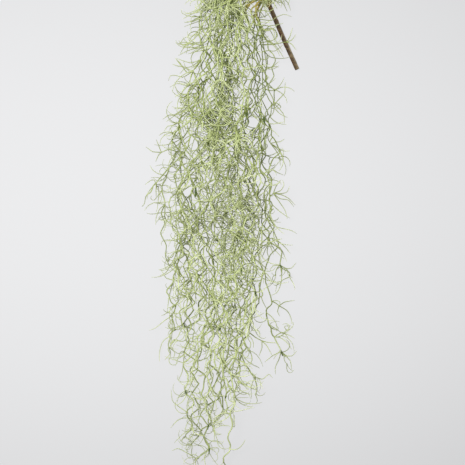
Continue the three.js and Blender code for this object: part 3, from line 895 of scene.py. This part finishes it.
def moss_paint():
    """Grey-green plastic or leaf: darker strands, paler leaf tips, ochre where a spray leaves the crown."""
    paint = Paint("moss")
    pale, tone, warm = paint.tint()
    patches = paint.range(paint.noise(38, 4), 0.34, 0.66)
    body = paint.ramp(
        # The tone read here also carries the painted light and shade given to the strands and their leaves.
        paint.work_out("ADD", paint.times(tone, 0.62), paint.times(patches, 0.38)),
        (0.0, srgb(76, 90, 24)),
        (0.35, srgb(126, 138, 62)),
        (0.65, srgb(180, 191, 126)),
        (1.0, srgb(222, 229, 180)),
    )
    flecks = paint.range(paint.noise(900, 2), 0.45, 0.7, 0.0, 0.35)
    body = paint.blend(flecks, body, srgb(196, 206, 160))
    body = paint.blend(paint.times(pale, 0.42), body, srgb(224, 228, 191))
    body = paint.blend(warm, body, srgb(184, 152, 70))
    roughness = paint.range(paint.noise(160, 2), 0.3, 0.7, 0.42, 0.66)
    return paint.finish(body, roughness, 0.4, bump=(paint.noise(1100, 3), 0.35, 0.0002))


def stub_paint():
    """The dark green of a cut twig."""
    paint = Paint("cut_stub")
    grain = paint.noise(500, 4)
    colour = paint.ramp(paint.range(grain, 0.3, 0.7), (0.0, srgb(38, 52, 19)), (1.0, srgb(92, 110, 50)))
    return paint.finish(colour, 0.6, 0.3, bump=(grain, 0.5, 0.0003))


def stem_paint():
    """Bark-like brown, with reddish and dark patches, and a painted highlight: a greyer, paler streak down one
    side.
    """
    paint = Paint("stem_bark")
    painted_highlight, _, warm = paint.tint()

    def along_stick(stretch):
        return paint.mapped(Rotation=(0, 0, -stem_bearing), Scale=(1.0, stretch, stretch))

    grain = paint.noise(42, 6, 0.6, along_stick(6.0))
    bark = paint.ramp(
        paint.range(grain, 0.3, 0.7),
        (0.0, srgb(42, 30, 13)),
        (0.4, srgb(63, 47, 23)),
        (0.7, srgb(84, 66, 34)),
        (1.0, srgb(108, 89, 53)),
    )
    bark = paint.blend(paint.range(paint.noise(75, 3), 0.5, 0.64, 0.0, 0.6), bark, srgb(84, 50, 27))
    # Painted highlight: the stick's marked side turns greyer and paler, broken up by noise.
    painted_highlight = paint.times(painted_highlight, paint.range(paint.noise(150, 4), 0.3, 0.55, 0.25, 0.9))
    bark = paint.blend(painted_highlight, bark, srgb(182, 167, 138))
    bark = paint.blend(paint.range(paint.noise(700, 4, 0.7), 0.6, 0.78, 0.0, 0.35), bark, srgb(44, 31, 20))
    bark = paint.blend(warm, bark, srgb(166, 112, 46))
    ridges = paint.noise(420, 6, 0.7, along_stick(3.0))
    return paint.finish(bark, paint.range(grain, 0.3, 0.7, 0.7, 0.52), 0.35, bump=(ridges, 0.8, 0.0006))


def crown_paint():
    """Ochre and olive, brown where the stick goes in."""
    paint = Paint("crown_ochre")
    _, tone, warm = paint.tint()
    lumps = paint.range(paint.noise(210, 4), 0.35, 0.65)
    body = paint.ramp(
        lumps,
        (0.0, srgb(104, 112, 46)),
        (0.45, srgb(142, 138, 58)),
        (0.8, srgb(170, 142, 58)),
        (1.0, srgb(186, 158, 80)),
    )
    body = paint.blend(warm, body, srgb(150, 96, 34))
    body = paint.blend(tone, body, srgb(132, 150, 78))
    bump = paint.noise(520, 5, 0.65), 0.6, 0.0006
    return paint.finish(body, paint.range(lumps, 0, 1, 0.62, 0.48), 0.4, bump)


MOSS, STUB, BARK, OCHRE = moss_paint(), stub_paint(), stem_paint(), crown_paint()

# ---- Lines ----


def smooth_line(knots, step, bends=None, knees=KNEES):
    """A smooth line through the knots, with a point about every step, and a slight S between knots if given."""
    bends = np.zeros_like(knots) if bends is None else bends
    tangents = np.empty_like(knots)
    lengths = steps(knots)
    tangents[1:-1] = (knots[2:] - knots[:-2]) / (lengths[1:] + lengths[:-1])[:, None]
    tangents[0], tangents[-1] = unit(knots[1] - knots[0]), unit(knots[-1] - knots[-2])
    points = []
    for i, length in enumerate(lengths):
        count = max(3, round(length / step))
        t = np.arange(count)[:, None] / count
        h01, h10, h11 = smooth(t), t * (1 - t) ** 2, t * t * (t - 1)
        points.append((1 - h01) * knots[i] + h01 * knots[i + 1]
                      + knees * length * (h10 * tangents[i] + h11 * tangents[i + 1])
                      + bends[i] * np.sin(2 * math.pi * t))
    return np.vstack([*points, knots[-1:]])


def through(points, rings, knees=KNEES):
    """A line through a few points, with evenly spaced rings."""
    line = smooth_line(np.array(points, float), 1.0, knees=knees)
    along = distances(line)
    places = np.linspace(0, along[-1], rings)
    return np.stack([np.interp(places, along, line[:, axis]) for axis in range(3)], axis=1)


def straight_through(places, rings):
    """A line of straight pieces through places given across, down and up."""
    return through([(x, -down, z) for x, down, z in places], rings, knees=0)


def arc(root, direction, axis, curl, length, rings, hook=0.0, twist=0.0):
    """A line that leaves its root and bends steadily about an axis, with a hook at its end if asked for."""
    s = np.linspace(0, 1, rings)
    mid = (s[1:] + s[:-1]) / 2
    heading = -curl / 2 + 2 * curl * mid + math.copysign(hook, curl) * np.clip((mid - 0.6) / 0.4, 0, 1) ** 2
    aside = twist * np.sin(math.pi * 1.4 * mid)
    across = cross(axis, direction)
    ways = (
        direction[None] * (np.cos(heading) * np.cos(aside))[:, None]
        + across[None] * (np.sin(heading) * np.cos(aside))[:, None]
        + axis[None] * np.sin(aside)[:, None]
    )
    return root + np.vstack([np.zeros(3), np.cumsum(ways * (length / (rings - 1)), axis=0)])


# ---- How full, how light and how near ----


def straying(knot):
    """1 out at the lower right, where single strands stray from the bunch, and 0 elsewhere."""
    return eased(-knot[1], 350, 60) * eased(knot[0], -5, 20)


def spots_at(x, down):
    """How much fuller the bunch is at some places than its rule makes it, or barer if below 0."""
    across, along, wide, long, change = SPOTS.T
    apart = ((np.asarray(x)[..., None] - across) / wide) ** 2 + ((np.asarray(down)[..., None] - along) / long) ** 2
    return (change * np.exp(-apart)).sum(-1)


def leafiness(knot):
    """How full of leaves the bunch is at a place: most along its spine, thin to the right of it, and in clumps."""
    x, down = knot[0], -knot[1]
    clumps = math.sin(x / 6.3 + 1.2 * math.sin(down / 27)) * math.sin(down / 9.5 + 1.4 * math.sin(x / 15))
    spine = -60 + 19 * eased(down, 240, 60) - 43 * eased(down, 500, 100)
    full = 0.5 * math.exp(-(((x - spine) / 20) ** 2)) * eased(down, 430, -80)
    thin = (0.85 - 1.1 * straying(knot)) * eased(x - spine, 8, 28) * eased(down, 20, 60)
    low = 0.36 * eased(down, 285, 60) - 0.7 * eased(down, 500, 90)
    top = 0.2 * eased(down, 60, -40) + 0.45 * eased(x, -25, -20) * eased(down, 260, -80)
    return 0.8 + 0.4 * clumps + full - thin - low + top + spots_at(x, down)


def shaded_strand_tone(strand, down):
    """Painted light and shade: strands at the front of the pile are lighter; those behind and those at the upper
    right are darker, as if in the shade of the front ones. The tail is darker too.
    """
    shade = 0.3 * eased(strand["place"], 0.1, 0.6) * eased(down, 240, -80) + 0.1 * eased(down, 520, 80)
    if strand["aside"] > 0:
        shade = shade + 0.2 * eased(down, 250, 80)
    bright = 0.05 * eased(down, 200, -80) + 0.12 * eased(down, 60, -40) + 0.2 * eased(down, 280, 160)
    return 0.24 + bright + 0.48 * min(1, strand["level"]) - shade


def inside(line):
    """Whether a line stays in the frame's box, as near the bunch as leaves do, and clear of its openings."""
    x, down = line[:, 0], -line[:, 1]
    downs, left, right = np.array(SPILL, float).T
    if np.any((x < np.interp(down, downs, left)) | (x > np.interp(down, downs, right))):
        return False
    low, high = LOW + [HEADROOM, HEADROOM, -99], HIGH - HEADROOM
    return bool(spots_at(x, down).min() >= OPEN and (line >= low).all() and (line <= high).all())


def strands_room(line):
    """How much room a leaf has from every strand but where it grows."""
    coarse = line[[len(line) // 3, 2 * len(line) // 3, -1]]
    return taken.room(coarse, [LEAF_RADIUS], NOBODY, own=False, count=strands_only)


def beside(knot, place):
    """How far a knot is from a place given across and down."""
    return math.hypot(knot[0] - place[0], knot[1] + place[1])


def find_stubs():
    """The knots that carry a stub: for each place a near one, rather high up in the pile."""
    knots = [(knot, (*strand["key"], j)) for strand in strands for j, knot in enumerate(strand["knots"][1:-1], 1)]
    return {min(knots, key=lambda entry: beside(entry[0], place) - 0.5 * entry[0][2])[1] for place in STUBS}


def find_branches():
    """Each placed branch, with the nearest knot, which it grows from, and the number of that knot's spray."""
    knots = [(knot, strand["key"][0]) for strand in strands for knot in strand["knots"][1:]]
    return [(*min(knots, key=lambda entry: beside(entry[0], place)), *branch) for place, *branch in BRANCHES]


stub_knots, branches = find_stubs(), find_branches()

# ---- Strands and leaves ----


def add_strand(shape, strand):
    spray, number = strand["key"]
    knots, draw = strand["knots"], stream(6, spray, number)
    across = unit(np.cross(UP, np.diff(knots, axis=0)))
    bends = across * np.array([either_way(draw, 2 * BEND) for _ in across])[:, None]
    line = smooth_line(knots, STRAND_STEP, bends)
    lift(line, STRAND_LEAST)
    along = distances(line)
    left, down = along[-1] - along, -line[:, 1]
    is_main = number in (0, 2)
    open_right = eased(line[:, 0], -24, 12) * eased(down, 30, 30) * eased(down, 200, -50)
    radius = np.minimum(profile(STRAND_WIDTHS, along if is_main else along + 90), STRAND_TIP + left / 70)
    radius *= 1 + 0.06 * np.sin(along / 5.3 + number)
    radius *= 1 - THINNER_RIGHT * open_right
    warm = 0.5 * np.clip(1 - along / 26, 0, 1) if is_main else 0.0
    # Strands are a darker olive than their leaves. Painted shade darkens them further at the upper right, where
    # they lie behind; they also darken down the tail.
    tone = shaded_strand_tone(strand, down) - 0.12 - 0.07 * eased(down, 280, 80) - 0.1 * open_right
    tone -= 0.12 * eased(down, 480, 80)
    tone += 0.12 * np.sin(along / 41 + 3.1 * spray + 1.7 * number)
    pale = 0.25 * np.clip(1 - left / 30, 0, 1) + 0.2 * eased(down, 200, 100) + 0.2 * eased(down, 450, 150)
    shape.tube(line, radius, STRAND_RING, pale=pale, tone=np.clip(tone, 0, 1), warm=warm)


class Leaves:
    """Leaf lines gathered for one piece, turned into tubes all at once."""

    def __init__(self):
        self.lines, self.sizes, self.tones, self.pales = [], [], [], []

    def add(self, line, size, tone, pale=0.0):
        self.lines.append(line)
        self.sizes.append([size])
        self.tones.append([min(1, max(0, tone))])
        self.pales.append([0.15 + 0.4 * pale])

    def into(self, shape, ochre=0.0):
        lines = np.array(self.lines)
        radii = profile(BLADE_WIDTHS, BLADE_SHARES) * np.array(self.sizes)
        lift(lines, radii)
        pale = mix(np.array(self.pales), 1.0, BLADE_SHARES**1.5)
        warm = ochre * np.clip(1 - BLADE_SHARES / 0.5, 0, 1)
        shape.tubes(lines, radii, BLADE_RING, pale=pale, tone=np.array(self.tones), warm=warm)


def fan(leaves, draw, root, onward, outward, count, tone, lean=FAN_LEAN, size=1.0):
    """A few leaves that spread from one place, from those that lean back along their strand to those ahead."""
    side, down = cross(onward, outward), -root[1]
    combed = eased(down, 200, -90) * eased(root[0], -10, -30)
    low = eased(down, 180, 80) + 0.6 * eased(down, 520, 80)
    for n in range(count):
        for _ in range(FAN_TRIES):
            share = (n + 0.25 + 0.5 * draw()) / count
            direction = swung(outward, side, either_way(draw, 2 * FAN_SPREAD))
            tilt = math.radians(mix(*lean, share) + HANGING * combed)
            direction = unit(swung(direction, onward, tilt) * FLATTER)
            axis = turned(squared(UP, direction), direction, math.radians(either_way(draw, CURL_TILT)))
            recurved = 1 if cross(direction, onward) @ axis < 0 else -1
            curl = (recurved if draw() < RECURVED else -recurved) * (1 - 0.35 * combed) * math.radians(
                mix(between(draw, CURL), between(draw, LOW_CURL), min(1, low)))
            hook = between(draw, HOOK) if draw() < HOOKS else 0.0
            length = between(draw, FAN_LENGTHS) * size * (1 + 0.3 * combed)
            line = arc(root, direction, axis, curl, length, BLADE_RINGS, hook, either_way(draw, 0.7))
            fits = inside(line)
            if fits and strands_room(line) > LEAF_ROOM:
                break
        if fits:
            width = between(draw, LEAF_SIZES) * (1 - 0.14 * low)
            leaves.add(line, width, tone + either_way(draw, TONES_APART) - 0.18 * low, low)


def add_twig(shape, leaves, draw, root, onward, outward, tone):
    """A side twig with a fan of leaves at its end and one half way."""
    tilt = math.radians(between(draw, (5, 65)))
    side = cross(onward, outward)
    direction = unit(swung(swung(outward, side, either_way(draw, 1.8)), onward, tilt))
    axis = unit(cross(direction, onward))
    length = between(draw, TWIG_LENGTH) * (1 + 0.5 * straying(root))
    line = arc(root, direction, axis, either_way(draw, 1.4), length, TWIG_RINGS)
    if not inside(line):
        return
    lift(line, 0.6)
    shape.tube(line, profile(TWIG_WIDTHS, np.linspace(0, 1, TWIG_RINGS)), TWIG_RING, tone=tone, pale=0.05)
    heading = unit(line[-1] - line[-2])
    out = squared(outward + side * either_way(draw, 1), heading)
    fan(leaves, draw, line[-1], heading, out, 2 + (draw() < 0.6), tone, lean=(10, 80), size=0.85)
    fan(leaves, draw, line[TWIG_RINGS // 2], heading, -out, 1, tone, size=0.8)


def add_stub(shape, draw, root, onward, outward, size):
    """A dark sheathed stub, where a twig was taken off, that lies close to its strand."""
    direction = unit(swung(outward, onward, math.radians(between(draw, (50, 75)))) + 0.2 * UP)
    length = between(draw, STUB_LENGTH) * size
    line = root + 0.8 * UP + direction * np.linspace(-1, length, len(STUB_SHAPE))[:, None]
    lift(line, STUB_RADIUS)
    shape.tube(line, STUB_RADIUS * size * np.array(STUB_SHAPE), 10, slot=1, blunt=True)


def sunk(x, down, root):
    """A point of a leaf that sinks from its root to the floor, but stays above the stick."""
    stick = stem_at(np.linspace(0, 0.9, 90))
    apart = np.hypot(stick[:, 0] - x, stick[:, 1] + down)
    near = int(apart.argmin())
    over_stick = stick[near, 2] + STEM_RADIUS + 1.2 - 0.22 * max(0, apart[near] - 3)
    below_root = root[2] - 0.5 * beside(root, (x, down))
    return np.array([x, -down, max(1.5, over_stick, below_root)])


def add_branches(shape, leaves, spray):
    """The placed branches that grow from this spray."""
    def grown(root, places, rings):
        return through([root, *(sunk(*place, root) for place in places)], rings)

    for root, owner, twig, blades in branches:
        if owner != spray:
            continue
        if twig:
            line = grown(root, twig, 8 + 3 * len(twig))
            shape.tube(line, np.linspace(*BRANCH_RADII, len(line)), TWIG_RING, tone=0.35)
            root = line[-1]
        for blade in blades:
            leaves.add(grown(root, blade, BLADE_RINGS), 1.05, 0.4)


def frame_leaf(own, draw, sway):
    """A leaf of the frame as an arc that sways to either side."""
    length = own["half"] * own["curl"] / math.sin(own["curl"] / 2)
    line = arc(own["points"][0], own["direction"], own["axis"], own["curl"], length, BLADE_RINGS,
               twist=either_way(draw, 0.3))
    across = unit(cross(UP, own["direction"]))
    return line + across * (sway * np.sin(1.5 * math.pi * BLADE_SHARES))[:, None]


def dress_strand(shape, leaves, strand):
    """The leaves of the frame and all that grows beside them."""
    knots = strand["knots"]
    for j in range(1, len(knots)):
        key, knot, down = (*strand["key"], j), knots[j], -knots[j][1]
        draw = stream(7, *key)
        before = unit(knot - knots[j - 1])
        onward = unit(knots[j + 1] - knot) if j + 1 < len(knots) else before
        outward = squared(strand["outward"][j], unit(onward + before))
        # The leaves take on their strand's painted light and shade.
        tone = shaded_strand_tone(strand, down)
        own = strand["leaves"].get(j)
        if own:
            line = frame_leaf(own, draw, either_way(stream(8, *key), 2 * LEAF_SWAY))
            leaves.add(line, 1.0, tone + either_way(draw, TONES_APART), eased(down, 180, 80))
        if j + 1 == len(knots):
            fan(leaves, draw, knot, onward, outward, 2, tone, lean=(40, 85), size=0.9)
            continue
        fullness = leafiness(knot) * min(1, (j + 1) / 3)
        count = round(mix(*FAN_LEAVES, mix(draw(), 1, 0.25) * fullness))
        if draw() < TWIG_SHARE * min(1.2, max(0.3, 1.3 * fullness)) + 0.4 * straying(knot):
            add_twig(shape, leaves, draw, knot, onward, outward, tone)
            count -= 2
        fan(leaves, draw, knot, onward, outward, max(0, count), tone)
        if key in stub_knots:
            add_stub(shape, draw, knot, onward, outward, 1 - 0.4 * eased(down, 250, 150))


def make_spray(spray):
    shape, leaves = Shape(), Leaves()
    stalk = np.linspace(spray["start"], spray["fork"] + spray["direction"] * 0.5, len(STALK_RADII))
    shape.tube(stalk, STALK_RADII, 10, warm=0.6, tone=0.4)
    for strand in spray["strands"]:
        add_strand(shape, strand)
        dress_strand(shape, leaves, strand)
    add_branches(shape, leaves, spray["number"])
    leaves.into(shape)
    number = f"{spray['number'] + 1:02d}"
    piece = shape.build(f"moss_spray_{number}", [MOSS, STUB])
    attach(piece, "root")
    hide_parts(f"spray_{number}")


# ---- Stick and crown ----


def make_stem():
    """The stick: knobbly, with low rings and the scars of twigs, cut off square."""
    seat = 1 - (CROWN_LENGTH / 2 - CROWN_SOCKET + GAP) / stem_reach
    rings, around = STEM_RINGS
    share = np.linspace(0, seat, rings)
    line = stem_at(share)
    shape = Shape()
    shape.tube(line, STEM_RADIUS, around, up=UP, blunt=True)
    along = (share * stem_reach)[:, None]
    angle = 2 * math.pi * np.arange(around)[None] / around
    relief = 0.05 * np.sin(3 * angle + along / 9) * np.sin(along / 4.3 + 1)
    relief = relief + 0.035 * np.sin(5 * angle - along / 3.1) + 0.012 * np.sin(along / 1.7 + 2 * np.sin(angle))
    draw = stream(8)
    for _ in range(STEM_SCARS):
        at, turn, size = draw() * stem_reach * seat, 2 * math.pi * draw(), between(draw, (0.07, 0.17))
        apart = (angle - turn + math.pi) % (2 * math.pi) - math.pi
        relief = relief + size * np.exp(-(((along - at) / 1.9) ** 2) - (apart / 0.55) ** 2)
    rounded_rim = 0.06 * smooth(along / 1.2) - 0.06
    rims = first_tube(shape.corners, rings, around)
    rims[:] = line[:, None] + (rims - line[:, None]) * (1.1 + 0.6 * relief + rounded_rim)[..., None]
    lift(rims, 0)
    tints = first_tube(shape.tints, rings, around)
    # Painted highlight: one side of the stick is marked pale, most strongly near the cut end.
    highlight_side = np.exp(-((((angle - 1.1 + math.pi) % (2 * math.pi)) - math.pi) / 0.6) ** 2)
    tints[:, :, 0] = highlight_side * mix(0.35, 1.0, smooth(1.5 - along / 45))
    tints[:, :, 2] = eased(share[:, None], 0.86, 0.08)
    piece = shape.build("stem_bark", [BARK])
    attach(piece, "root")
    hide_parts("stem")


def make_crown():
    """The knob with its arms, lumpy like a graft, and brown at the stick's socket."""
    shape = Shape()
    rings, around = CROWN_RINGS
    t = np.linspace(0, 1, rings)
    line = crown_centre + stem_axis * ((t - 0.5) * CROWN_LENGTH)[:, None]
    warm = np.clip(1 - t / 0.32, 0, 1)
    shape.tube(line, profile(CROWN_BULGE, t) * CROWN_RADIUS, around, tone=0.35, warm=warm, blunt=True)
    rims, t = first_tube(shape.corners, rings, around), t[:, None]
    angle = 2 * math.pi * np.arange(around)[None] / around
    lumps = 0.07 * np.sin(4 * angle + 6 * t) * np.sin(9 * t + 1) + 0.04 * np.sin(7 * angle - 11 * t)
    rims[:] = line[:, None] + (rims - line[:, None]) * (0.97 + lumps)[..., None]
    shares = np.linspace(0, 1, 12)
    for spray in sprays:
        arm = np.linspace(crown_centre, spray["arm_end"], len(shares))
        arm[:, 2] += 0.25 * np.sin(math.pi * shares)
        shape.tube(arm, profile(ARM_WIDTHS, shares), 12, tone=0.4, warm=0.1, blunt=True)
    piece = shape.build("crown_knob", [OCHRE])
    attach(piece, "root")
    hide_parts("crown")


def add_sheaths(shape, draw):
    """Short ochre sheaths that clasp the stick below the crown, and a few that stand off beside it."""
    seat = 1 - (CROWN_LENGTH / 2 - 2) / stem_reach
    for n in range(SHEATHS):
        turn = 2 * math.pi * (n + 0.5 * draw()) / SHEATHS
        line = stem_at(seat - np.linspace(0, between(draw, SHEATH_LENGTH), 8) / stem_reach)
        along = unit(line[1] - line[0])
        normal = squared(UP, along)
        out = swung(normal, cross(along, normal), turn)
        line = line + out * np.linspace(STEM_RADIUS * 0.9, STEM_RADIUS * between(draw, (1.1, 1.7)), 8)[:, None]
        shape.tube(line, np.linspace(1.9, 0.5, 8), 8, slot=1, tone=0.0, warm=between(draw, (0.3, 0.95)))
    for places in OCHRE_SHEATHS:
        shape.tube(straight_through(places, 9), np.linspace(1.3, 0.55, 9), 7, slot=1, tone=0.0, warm=0.15)


def make_tuft():
    """Leaves that stand out of the crown itself, all round."""
    shape, leaves = Shape(), Leaves()
    draw = stream(9)
    add_sheaths(shape, draw)
    for places in RIGHT_ARCS:
        leaves.add(straight_through(places, BLADE_RINGS), 1.15, 0.2)
    for n in range(TUFT_LEAVES):
        bearing = 2 * math.pi * (n + draw()) / TUFT_LEAVES
        by_stick = math.cos(bearing - stem_bearing)
        direction = way(bearing, math.radians(between(draw, (-20, 70))))
        root = crown_centre + direction * (CROWN_RADIUS * 0.8) + stem_axis * between(draw, (-4, 6))
        size = mix(1.0, 0.45, smooth(by_stick * 2 - 0.6))
        out = squared(-NORTH + 0.4 * UP, direction)
        fan(leaves, draw, root, direction, out, 1, 0.46, lean=(35, 85), size=size)
    leaves.into(shape, ochre=0.45)
    piece = shape.build("crown_tuft", [MOSS, OCHRE])
    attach(piece, "root")


# ---- The scene ----

PHOTO_SIZE = 465
PIXEL = 0.0014  # metres on the photo's scale
CROWN_PIXEL = (265, -4)
VIEW_DISTANCE, VIEW_HEIGHT = 2.0, 0.018  # from the camera to the middle of the pile, and that above the floor
POOL = (-0.23, 0.06)  # the brightest spot of the floor
POOL_FADE = (0.47, 0.8)  # across and along the bunch: brightness lost at a metre is the square of this
POOL_BRIGHT = 0.777
FLOOR_SIZE = 14
# name, place, breadth, power
LIGHTS = [("key", (-0.7, 0.5, 2.3), 0.8, 72), ("side", (1.6, 0.2, 1.4), 1.2, 8)]


def make_camera():
    crown = (crown_centre + SHIFT) / 1000
    data = bpy.data.cameras.new("camera")
    data.sensor_width = 36
    data.lens = data.sensor_width * VIEW_DISTANCE / (PHOTO_SIZE * PIXEL)
    camera = add_object("camera", data)
    camera.location = (
        crown[0] + (PHOTO_SIZE / 2 - CROWN_PIXEL[0]) * PIXEL,
        crown[1] - (PHOTO_SIZE / 2 - CROWN_PIXEL[1]) * PIXEL,
        VIEW_HEIGHT + VIEW_DISTANCE,
    )
    bpy.context.scene.camera = camera


def pool_of_light(paint):
    """The floor's own brightness, which falls off from a spot to the left of the bunch."""
    place = paint.mapped(Location=(-POOL[0] * POOL_FADE[0], -POOL[1] * POOL_FADE[1], 0), Scale=(*POOL_FADE, 1))
    length = paint.node("ShaderNodeVectorMath", {0: place}, operation="LENGTH").outputs["Value"]
    return paint.range(paint.times(length, length), 0, 0.2, POOL_BRIGHT, POOL_BRIGHT - 0.2)


def make_floor():
    mesh = bpy.data.meshes.new("floor")
    corners = [(x * FLOOR_SIZE, y * FLOOR_SIZE, 0) for x, y in ((-1, -1), (1, -1), (1, 1), (-1, 1))]
    mesh.from_pydata(corners, [], [(0, 1, 2, 3)])
    floor = add_object("floor", mesh)
    paint = Paint("glowing_floor")
    # The floor's brightness is its own glow, a painted pool of light over a near-black diffuse base, so the
    # bunch's shadows hardly show on it.
    paint.feed(paint.shader, {
        "Emission Color": (0.984, 0.987, 1.0, 1),
        "Emission Strength": pool_of_light(paint),
    })
    mesh.materials.append(paint.finish((0.05, 0.05, 0.05, 1), 0.9, 0.0))


def make_light(name, place, size, power):
    """A square lamp that faces the middle of the bunch."""
    data = bpy.data.lights.new(name, "AREA")
    data.shape, data.size, data.energy = "SQUARE", size, power
    light = add_object(name, data)
    light.location = place
    light.rotation_mode = "QUATERNION"
    light.rotation_quaternion = (-Vector(place)).to_track_quat("-Z", "Y")
    light.visible_camera = False


def make_world():
    world = bpy.data.worlds.new("studio")
    world.use_nodes = True
    sky = world.node_tree.nodes["Background"].inputs
    sky["Color"].default_value, sky["Strength"].default_value = (0.92, 0.93, 0.95, 1), 0.22
    bpy.context.scene.world = world


for one in sprays:
    make_spray(one)
make_stem()
make_crown()
make_tuft()

make_camera()
make_floor()
for settings in LIGHTS:
    make_light(*settings)
make_world()
bpy.context.scene.view_settings.view_transform = "Standard"
